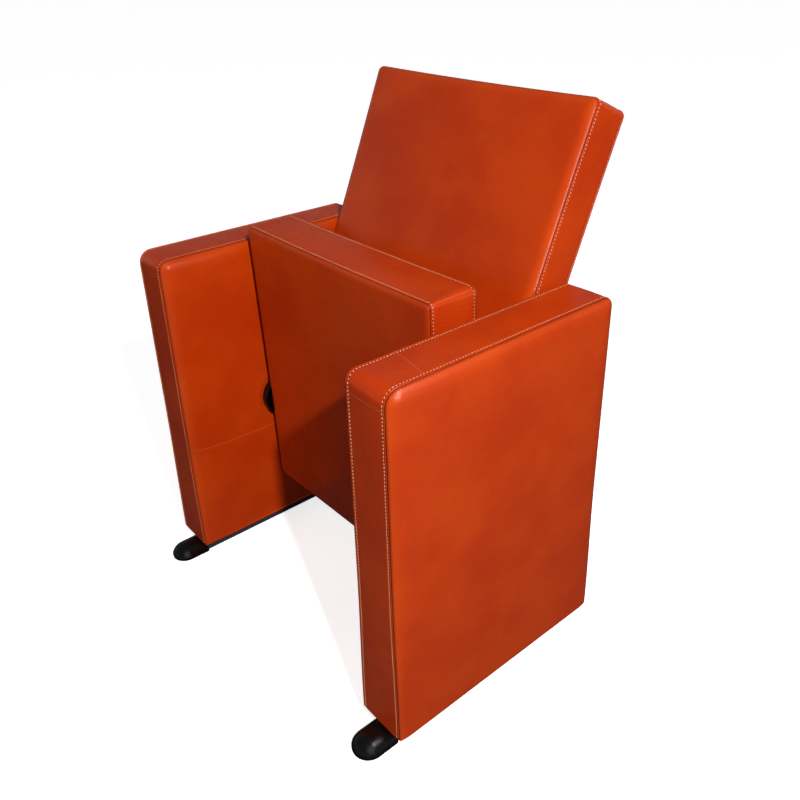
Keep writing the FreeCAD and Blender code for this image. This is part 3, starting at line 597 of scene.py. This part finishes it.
def stacked(block):
    """Rows of the whole section from face to face, and how far the strip swells at each."""
    halves = [seam_profile(block["depth"], edge) for edge in block["rolls"]]
    far = halves[1][::-1].copy()
    far[:, 0] = block["depth"] - far[:, 0]
    rows = np.vstack([halves[0], far[1:]])
    (near_roll, _), (far_roll, _) = block["rolls"]
    share = (rows[:, 0] - near_roll) / (block["depth"] - near_roll - far_roll)
    return rows, block["swell"] * 4 * (share * (1 - share)).clip(0, 1)


def grid_between(ring, n, m):
    """Fills a ring with n x m quads: a grid whose lines run between opposite sides."""
    bottom, side, top = ring[:n + 1], ring[n:n + m + 1], ring[n + m:2 * n + m + 1][::-1]
    other = np.vstack([ring[2 * n + m:], ring[:1]])[::-1]
    u, v = np.linspace(0, 1, n + 1)[:, None, None], np.linspace(0, 1, m + 1)[None, :, None]
    flat = (1 - v) * bottom[:, None] + v * top[:, None] + (1 - u) * other[None] + u * side[None]
    return flat - ((1 - u) * (1 - v) * ring[0] + u * (1 - v) * ring[n] + u * v * ring[n + m]
                   + (1 - u) * v * ring[2 * n + m])


def strip_quads(row_count, count):
    """Quads between neighbouring sections of count points."""
    here = np.arange(count)
    after = np.roll(here, -1)
    row = np.column_stack([here, after, after + count, here + count])
    return [row + s * count for s in range(row_count - 1)]


def face_quads(edge, inner, n, m):
    """Quads of a face, from the indices of its first edge point and its first inner point."""
    index = np.zeros((n + 1, m + 1), int)
    index[:, 0] = edge + np.arange(n + 1)
    index[n, :] = edge + n + np.arange(m + 1)
    index[::-1, m] = edge + n + m + np.arange(n + 1)
    index[0, ::-1] = edge + np.r_[2 * n + m:2 * (n + m), 0]
    index[1:n, 1:m] = inner + np.arange((n - 1) * (m - 1)).reshape(n - 1, m - 1)
    return grid_quads(index)


print("stops in half a section of 90 mm:", len(seam_profile(90, (6, 12))))

# %% [markdown]
# With the shape comes the bookkeeping: the six numbers that the leather reads are stored with each point
# while the block is sewn, because only here is it known which row of the seam a point belongs to.

# %% Sewing a block
STITCH_PITCH = 5.5           # mm
FAR = 99.0                   # mm, for a point that no seam is near
GATHER_REACH = 38.0          # mm from a corner over which the leather lies in small wrinkles


def top_joins(block, rows, lengths, n, m):
    """Distance along the strip to the two joins of its top piece, for each point of each row."""
    past_first, to_second = lengths[:, :-1] - lengths[:, [n + m]], lengths[:, [2 * n + m]] - lengths[:, :-1]
    (near_roll, _), (far_roll, _) = block["rolls"]
    on_strip = (rows[:, 0] > near_roll) & (rows[:, 0] < block["depth"] - far_roll)
    return np.where(on_strip[:, None], np.minimum(past_first, to_second), FAR).ravel()


def seam_numbers(block, rows, rings, points, n, m):
    """The six numbers for each point: those of the sections first, then those inside the faces."""
    count = len(rings[0])
    loose = len(points) - len(rows) * count
    steps = np.array([np.linalg.norm(np.roll(ring, -1, 0) - ring, axis=1) for ring in rings])
    lengths = np.hstack([np.zeros((len(rings), 1)), np.cumsum(steps, 1)])
    stitches = np.round(lengths[:, -1:] / STITCH_PITCH)
    along = np.r_[(lengths[:, :-1] / lengths[:, -1:] * stitches).ravel(), np.zeros(loose)]
    across, fold_shade, stretch_and_highlight = (np.r_[np.repeat(rows[:, k], count), np.full(loose, inside)]
                               for k, inside in ((2, FAR), (3, 0.0), (4, 0.0)))
    if "joins" in block:
        joins = block["joins"](*points.T)
    else:
        joins = np.r_[top_joins(block, rows, lengths, n, m), np.full(loose, FAR)]
    (left, lower), (right, upper) = block["low"], block["high"]
    corners = [np.hypot(points[:, 0] - h, points[:, 1] - v) for h in (left, right) for v in (lower, upper)]
    gather = hump(np.min(corners, 0), 0.0, GATHER_REACH)
    return {"gather": gather, "across": across, "along": along, "join": joins, "fold_shade": fold_shade,
            "stretch_and_highlight": stretch_and_highlight}


def sew(block):
    """(points in h, v, t, quads, {number for the leather: values}) of one block."""
    rows, swell = stacked(block)
    rings = [section_ring(block, t, inset - more) for t, inset, more in zip(rows[:, 0], rows[:, 1], swell)]
    count = len(rings[0])
    n, m = (CORNER_STEPS + len(fractions(end - start)) + 1
            for start, end in zip(block["low"], block["high"]))
    points = [np.column_stack([ring, np.full(count, t)]) for ring, t in zip(rings, rows[:, 0])]
    quads = strip_quads(len(rows), count)
    for s, facing_out in ((0, -1), (len(rows) - 1, 1)):
        inside = grid_between(rings[s], n, m)[1:n, 1:m].reshape(-1, 2)
        quads.append(face_quads(s * count, sum(map(len, points)), n, m)[:, ::facing_out])
        points.append(np.column_stack([inside, np.full(len(inside), rows[s, 0])]))
    points = np.vstack(points)
    return crowned(block, points), np.vstack(quads), seam_numbers(block, rows, rings, points, n, m)


print("a stitch every", STITCH_PITCH, "mm")

# %% [markdown]
# The blocks themselves are only sizes. They start from the CAD solids and stand a few mm proud of them,
# where the photo shows fuller padding. An arm has plain joins of its own, where one hide was too short.

# %% Sizes of the padded pieces
PIVOT = np.array([0.0, -39.2, 304.0])
PANEL_BOTTOM = 28.0
ARM_IN, ARM_OUT = 253.7, 348.8
ARM_FRONT, ARM_REAR, ARM_TOP = -246.2, 189.8, 628.0
ARM_SPARE = 40.0             # made too long by this, and cut off level later
ARM_ROLL = 8.5
HUB_PRESS = (44.5, 2.6)      # radius and depth of the dent under the hub cup
STRIP_JOINS = (600.0, -163.2)    # height of the front join and place of the top one
TOP_JOIN_SLANT = 0.2
FACE_JOIN = (243.0, -246.0, 10.0, 40.0)    # height, front end, rise there and reach of that rise


def arm_joins(h, v, t):
    """Distance to the joins of an arm's hides: two across its strip, one across its inner face.

    It changes sign at a join, so that it runs straight through zero between two points of the mesh."""
    on_strip = (t > ARM_ROLL) & (t < ARM_OUT - ARM_IN - ARM_ROLL)
    corner_piece = np.minimum(v - STRIP_JOINS[0], STRIP_JOINS[1] - TOP_JOIN_SLANT * t - h)
    level, front, rise, reach = FACE_JOIN
    on_face = v - level - rise * np.exp(-(h - front) / reach)
    return np.where(on_strip, corner_piece, np.where(t < ON_FACE, on_face, FAR))


# Rolls and shoulders, radii and crowns come in pairs: first face, second face
ARM = {"low": (ARM_FRONT, PANEL_BOTTOM - ARM_SPARE), "high": (ARM_REAR, ARM_TOP), "depth": ARM_OUT - ARM_IN,
       "radii": [(4, 4), (4, 4), (16, 16), (18, 24)], "rolls": ((ARM_ROLL, 23), (ARM_ROLL, 27)),
       "crowns": (0.4, 1.4), "swell": 0.8, "pull": 0.0, "seed": 1, "joins": arm_joins,
       "settles": (50.0, 300.0, 0.6), "hub": (PIVOT[1], PIVOT[2], *HUB_PRESS)}
SEAT = {"low": (-238.2, -168.0), "high": (238.2, 357.0), "depth": 95.5,
        "radii": [(13, 13), (13, 13), (6, 14), (6, 14)], "rolls": ((3.5, 12), (1.8, 8)),
        "crowns": (1.5, 5.0), "swell": 1.5, "pull": 2.0, "seed": 2}
BACK = {"low": (-252.6, -540.0), "high": (252.6, 0.0), "depth": 82.0,
        "radii": [(12, 12), (12, 12), (11, 11), (11, 11)], "rolls": ((8, 17), (2.5, 5)),
        "crowns": (5.0, 2.0), "swell": 0.3, "pull": 2.0, "seed": 3, "tuck": 45.0}
print("depths in mm: arm", round(ARM["depth"], 1), "seat", SEAT["depth"], "back", BACK["depth"])

# %% [markdown]
# Each block has a function that puts its own directions, across, up and through, where the piece stands on
# the chair. The left arm is the right one mirrored. Rotating an object would do as well, but stitches need
# the same mapping, and so a plain function serves both.

# %% Where each piece stands
SEAT_LEAN, BACK_RECLINE = math.radians(1.8), math.radians(-23.3)
SEAT_UNDERSIDE = -35.5       # from the pivot
BACK_TOP = PIVOT + (0.0, 270.0, 595.0)


def turned(points, angle, origin):
    """Points in a piece's own frame, turned about X and moved to its origin."""
    x, y, z = points.T
    c, s = math.cos(angle), math.sin(angle)
    return np.column_stack([x, c * y - s * z, s * y + c * z]) + origin


def on_right_arm(p):
    return np.column_stack([ARM_IN + p[:, 2], p[:, 0], p[:, 1]])


def on_left_arm(p):
    return on_right_arm(p) * (-1, 1, 1)


def on_seat(p):
    return turned(np.column_stack([p[:, 0], p[:, 2] + SEAT_UNDERSIDE, p[:, 1]]), SEAT_LEAN, PIVOT)


def on_back(p):
    return turned(np.column_stack([p[:, 0], p[:, 2], p[:, 1]]), BACK_RECLINE, BACK_TOP)


print("seat top edge at", on_seat(np.array([[0, SEAT["high"][1], 0]])).round(1)[0])

# %% [markdown]
# Now the meshes are made. The arm panel's leather is pulled down over its wooden box and turned under, so
# its block is made too long, cut off level at the bottom, and given a narrow turned-in hem. A solidify
# modifier would thicken the cut edge, but it couldn't turn it under.

# %% Leather meshes and hems
HEM_RISE = 2.5               # the leather ends a little above the foot, which leaves a dark gap
HEM_CUT = 1.5                # the level cut above the hem's edge
HEM_WIDE = (10.5 * MM, 8 * MM)
HEM_STEPS = ((0.05, 0.5), (0.2, 0.1), (1.0, 0.1))    # share of the width turned in, mm above the edge


def leather_piece(name, block, place):
    points, quads, numbers = sew(block)
    mesh = new_mesh(name, place(points) * MM, quads)
    for title, values in numbers.items():
        stored = mesh.attributes.new(title, "FLOAT", "POINT")
        stored.data.foreach_set("value", values.astype(np.float32))
    mesh.materials.append(tan_leather)
    mesh.shade_smooth()
    return new_object(name, mesh)


def face_outwards(piece):
    """Makes all faces look out, whatever way round the piece was built."""
    bm = bmesh.new()
    bm.from_mesh(piece.data)
    bmesh.ops.recalc_face_normals(bm, faces=bm.faces)
    if bm.calc_volume(signed=True) < 0:
        bmesh.ops.reverse_faces(bm, faces=bm.faces)
    bm.to_mesh(piece.data)
    bm.free()


def cut_level(piece, height, hem):
    """Cuts a panel's leather off level and turns its edge in under the wooden box."""
    bm = bmesh.new()
    bm.from_mesh(piece.data)
    parts = bm.verts[:] + bm.edges[:] + bm.faces[:]
    bmesh.ops.bisect_plane(bm, geom=parts, plane_co=(0, 0, height + HEM_CUT * MM), plane_no=(0, 0, -1),
                           clear_outer=True)
    edges = [e for e in bm.edges if e.is_boundary]
    rim = np.array([v.co for v in bm.verts if v.is_boundary])
    low, high = rim.min(0), rim.max(0)
    for share, rise in HEM_STEPS:
        made = bmesh.ops.extrude_edge_only(bm, edges=edges)["geom"]
        for v in [g for g in made if isinstance(g, bmesh.types.BMVert)]:
            inner = [min(max(v.co[k], low[k] + hem[k] * share), high[k] - hem[k] * share) for k in (0, 1)]
            v.co = (*inner, height + rise * MM)
        edges = [g for g in made if isinstance(g, bmesh.types.BMEdge)]
    for face in bm.faces:
        face.smooth = True
    bm.to_mesh(piece.data)
    bm.free()


right_arm = leather_piece("right_arm_leather", ARM, on_right_arm)
left_arm = leather_piece("left_arm_leather", ARM, on_left_arm)
seat = leather_piece("seat_leather", SEAT, on_seat)
back = leather_piece("back_leather", BACK, on_back)
for piece in (right_arm, left_arm, seat, back):
    face_outwards(piece)
for arm in (right_arm, left_arm):
    cut_level(arm, (PANEL_BOTTOM + HEM_RISE) * MM, HEM_WIDE)
print("points:", [len(piece.data.vertices) for piece in (right_arm, left_arm, seat, back)])

# %% [markdown]
# Each leather mesh takes the place of the plain solids that it stands for, and moves with the same body.

# %% Leather in place of the plain solids
COVERS = ((right_arm, "frame", ["right_side_cover"]), (left_arm, "frame", ["left_side_cover"]),
          (seat, "seat", ["seat_cover", "seat_foam"]), (back, "frame", ["back_cover", "back_foam"]))
for piece, body, nodes in COVERS:
    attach(piece, body)
    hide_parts(*nodes)

# %% [markdown]
# Each stitch is a short twisted strand that comes out of one needle hole, lies on the leather and dives
# into the next. A pattern of dots in the leather would be quicker, but real strands catch the light and
# stand up to a close look. One strand is modelled here.

# %% One stitch
STITCH_LONG, THREAD_MM = 3.2, 1.1
STITCH_LIFT, STITCH_DIVE = 0.45, 0.95    # mm above the leather in the middle, and how far the ends go down
STRAND_RINGS, STRAND_SIDES = 7, 6


def strand():
    """One stitch along X: points, quads and its map of twist."""
    s = np.linspace(-1, 1, STRAND_RINGS)
    angle = 2 * math.pi * np.arange(STRAND_SIDES) / STRAND_SIDES
    radius = THREAD_MM / 2 * np.sqrt(1 - 0.9 * s ** 6)
    x = np.repeat(s * STITCH_LONG / 2, STRAND_SIDES)
    y = np.outer(radius, np.cos(angle)).ravel()
    z = np.outer(radius, np.sin(angle)).ravel() + np.repeat(STITCH_LIFT - STITCH_DIVE * s ** 4, STRAND_SIDES)
    quads, maps = [], []
    for i in range(STRAND_RINGS - 1):
        a, b = i * STRAND_SIDES, (i + 1) * STRAND_SIDES
        low, high = s[i] * STITCH_LONG / 2, s[i + 1] * STITCH_LONG / 2
        for k in range(STRAND_SIDES):
            j = (k + 1) % STRAND_SIDES
            near, far = k / STRAND_SIDES, (k + 1) / STRAND_SIDES
            quads.append((a + k, b + k, b + j, a + j))
            maps.append([(low, near), (high, near), (high, far), (low, far)])
    return np.column_stack([x, y, z]), np.array(quads), np.array(maps)


print("points in a stitch:", len(strand()[0]))

# %% [markdown]
# Copies of the strand are laid along the seams at the 5.5 mm pitch of the photo, each a little aslant, as
# hand-fed work is. They are joined to one mesh for each piece, because thousands of objects would be slow
# to handle. The back's rear seam is sewn from inside and shows no thread.

# %% Rows of stitches
SLANT_DEG, SLANT_SWAY = 7, 3
HEM_CLEAR = 4.0              # mm above the hem where the arm's rows begin


def row_of_stitches(block, place, seam):
    """Middle, run and outward direction of each stitch on one seam of a block, on the chair."""
    depth, roll = block["depth"], block["rolls"][seam][0]
    t = roll + STITCH_LINE
    share = STITCH_LINE / (depth - block["rolls"][0][0] - block["rolls"][1][0])
    inset = seam_depth(STITCH_LINE) - block["swell"] * 4 * share * (1 - share)
    t = t if seam == 0 else depth - t
    ring = section_ring(block, t, inset)
    flat = np.column_stack([ring, np.full(len(ring), t)])
    points = place(crowned(block, flat))
    lifted = place(crowned(block, flat) + np.column_stack([outward(ring), np.zeros(len(ring))])) - points
    closed, ups = np.vstack([points, points[:1]]), np.vstack([lifted, lifted[:1]])
    length = np.r_[0, np.cumsum(np.linalg.norm(np.diff(closed, axis=0), axis=1))]
    count = round(length[-1] / STITCH_PITCH)
    at = (np.arange(count) + 0.5) * length[-1] / count
    middles = np.column_stack([np.interp(at, length, closed[:, k]) for k in range(3)])
    ups = np.column_stack([np.interp(at, length, ups[:, k]) for k in range(3)])
    ups /= np.linalg.norm(ups, axis=1)[:, None]
    runs = np.roll(middles, -1, 0) - np.roll(middles, 1, 0)
    runs -= (runs * ups).sum(1)[:, None] * ups
    return middles, runs / np.linalg.norm(runs, axis=1)[:, None], ups


def stitching(name, block, place, body, seams=(0, 1), lowest=-math.inf):
    """All stitches of a piece, from a lowest height upwards, as one mesh."""
    pattern, quads, maps = strand()
    rows = [row_of_stitches(block, place, seam) for seam in seams]
    middles, runs, ups = (np.vstack(parts) for parts in zip(*rows))
    kept = middles[:, 2] > lowest
    middles, runs, ups = middles[kept], runs[kept], ups[kept]
    slant = np.radians(SLANT_DEG + SLANT_SWAY * np.sin(1.7 * np.arange(len(middles))))[:, None]
    sides = np.cross(ups, runs)
    runs, sides = runs * np.cos(slant) + sides * np.sin(slant), sides * np.cos(slant) - runs * np.sin(slant)
    x, y, z = (pattern[None, :, [k]] for k in range(3))
    points = (middles[:, None] + x * runs[:, None] + y * sides[:, None] + z * ups[:, None]).reshape(-1, 3)
    faces = (quads[None] + len(pattern) * np.arange(len(middles))[:, None, None]).reshape(-1, 4)
    mesh = new_mesh(name, points * MM, faces)
    twist = np.tile(maps.reshape(-1), len(middles)).astype(np.float32)
    mesh.uv_layers.new(name="thread").data.foreach_set("uv", twist)
    mesh.materials.append(cream_thread)
    mesh.shade_smooth()
    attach(new_object(name, mesh), body)
    print(name, len(middles), "stitches")


row_start = PANEL_BOTTOM + HEM_RISE + HEM_CLEAR
stitching("right_arm_stitches", ARM, on_right_arm, "frame", lowest=row_start)
stitching("left_arm_stitches", ARM, on_left_arm, "frame", lowest=row_start)
stitching("seat_stitches", SEAT, on_seat, "seat")
stitching("back_stitches", BACK, on_back, "frame", seams=(0,))

# %% [markdown]
# The studio has a plain pale floor that runs out to a white horizon. A truly white floor would throw light
# up at the chair's shaded faces and be mirrored in them. So the floor is pale to the camera and darker to
# other rays, as a sweep is that black cards flag off.

# %% Floor
FLOOR_HALF = 60.0            # m


def studio_floor():
    """Matt paint: white with a faint soft shadow."""
    corners = [(x * FLOOR_HALF, y * FLOOR_HALF, 0) for x, y in ((-1, -1), (1, -1), (1, 1), (-1, 1))]
    mesh = new_mesh("studio_floor", corners, [(0, 1, 2, 3)])
    paint, tree, shader = new_material("matt_studio_floor_paint", Roughness=0.9, IOR=1.3)
    ray = add_node(tree, "ShaderNodeLightPath")
    mirrored = add_node(
        tree, "ShaderNodeMix",
        {"Factor": ray.outputs["Is Glossy Ray"], "A": linear("#8E8E8C"), "B": linear("#3A3A3A")},
        data_type="RGBA")
    tone = add_node(
        tree, "ShaderNodeMix",
        {"Factor": ray.outputs["Is Camera Ray"], "A": mirrored.outputs["Result"], "B": linear("#F2F2F3")},
        data_type="RGBA")
    tree.links.new(tone.outputs["Result"], shader.inputs["Base Color"])
    glow = add_node(tree, "ShaderNodeMath", {0: ray.outputs["Is Camera Ray"], 1: 0.76}, operation="MULTIPLY")
    tree.links.new(glow.outputs[0], shader.inputs["Emission Strength"])
    mesh.materials.append(paint)
    floor = new_object("studio_floor", mesh)


studio_floor()
print("floor is", 2 * FLOOR_HALF, "m wide")

# %% [markdown]
# Round the floor there is only pale air: brighter near the horizon, as studio walls are, dimmer above, so
# that the lamps shape the leather, and white to the camera. A picture of a real studio would do too, but
# its windows would show in the gloss.

# %% Air
WALL_LIGHT, CEILING_LIGHT = 0.35, 0.12


def studio_air():
    world = bpy.data.worlds.new("studio")
    bpy.context.scene.world = world
    world.use_nodes = True
    tree = world.node_tree
    way = add_node(tree, "ShaderNodeTexCoord").outputs["Generated"]
    rise = add_node(tree, "ShaderNodeSeparateXYZ", {"Vector": way}).outputs["Z"]
    wall = add_node(
        tree, "ShaderNodeMapRange",
        {"Value": rise, "From Min": 0.05, "From Max": 0.3, "To Min": WALL_LIGHT, "To Max": CEILING_LIGHT},
        interpolation_type="SMOOTHSTEP")
    seen = add_node(tree, "ShaderNodeLightPath").outputs["Is Camera Ray"]
    strength = add_node(tree, "ShaderNodeMath", {0: wall.outputs["Result"], 1: seen}, operation="MAXIMUM")
    tree.links.new(strength.outputs[0], tree.nodes["Background"].inputs["Strength"])
    tree.nodes["Background"].inputs["Color"].default_value = linear("#FAFAF8")


studio_air()
print("air gives", WALL_LIGHT, "at the horizon and", CEILING_LIGHT, "above")

# %% [markdown]
# The main lamp stands where the photo's light comes from, high on the right and a little in front. Weak
# wide lamps light the left and the rear, which the photo doesn't show. None of them is mirrored, because
# that makes white glare on flat leather. Two others are only mirrored: a wide soft box, and a strip by the
# back's right edge that draws the thin highlight along its roll.

# %% Lamps
KEY_AT = (2.01, -0.84, 2.08)
STRIP_WIDE, STRIP_TALL = 0.26, 0.5
STRIP_AWAY = 0.6            # m from the edge that mirrors it
BACK_EDGE = Vector((0.25, 0.11, 0.76))    # the middle of that edge
BACK_EDGE_WAY = Vector((0, 0.396, 0.918))
FROM_EDGE = Vector((0.967, -0.226, 0.116))


def lamp(name, kind, strength, mirrored=True, lights=True, **settings):
    """One lamp, which is mirrored in glossy surfaces, lights things, or both."""
    data = bpy.data.lights.new(name, kind)
    data.energy = strength
    for setting, value in settings.items():
        setattr(data, setting, value)
    holder = new_object(name, data)
    holder.visible_glossy, holder.visible_diffuse, holder.visible_camera = mirrored, lights, False
    return holder


def far_lamp(name, strength, degrees, way, **rays):
    """A lamp far away, whose light comes from this way and fills this angle."""
    holder = lamp(name, "SUN", strength, angle=math.radians(degrees), **rays)
    holder.rotation_mode = "QUATERNION"
    holder.rotation_quaternion = Vector(way).to_track_quat("Z", "Y")


key = lamp("key", "POINT", 335, mirrored=False, shadow_soft_size=0.05)
key.location = KEY_AT
strip = lamp("edge_strip", "AREA", 3.6, lights=False, shape="RECTANGLE", size=STRIP_WIDE, size_y=STRIP_TALL)
strip_across = BACK_EDGE_WAY.cross(FROM_EDGE).normalized()
turn = Matrix((strip_across, FROM_EDGE.cross(strip_across), FROM_EDGE)).transposed().to_4x4()
strip.matrix_world = Matrix.Translation(BACK_EDGE + STRIP_AWAY * FROM_EDGE) @ turn
far_lamp("soft_box", 0.4, 44, (0.74, -0.30, 0.62), lights=False)
far_lamp("left_fill", 1.5, 30, (-1.0, -0.1, 0.15), mirrored=False)
far_lamp("rear_fill", 1.5, 30, (-0.1, 1.0, 0.1), mirrored=False)
bpy.context.scene.view_settings.view_transform = "Standard"
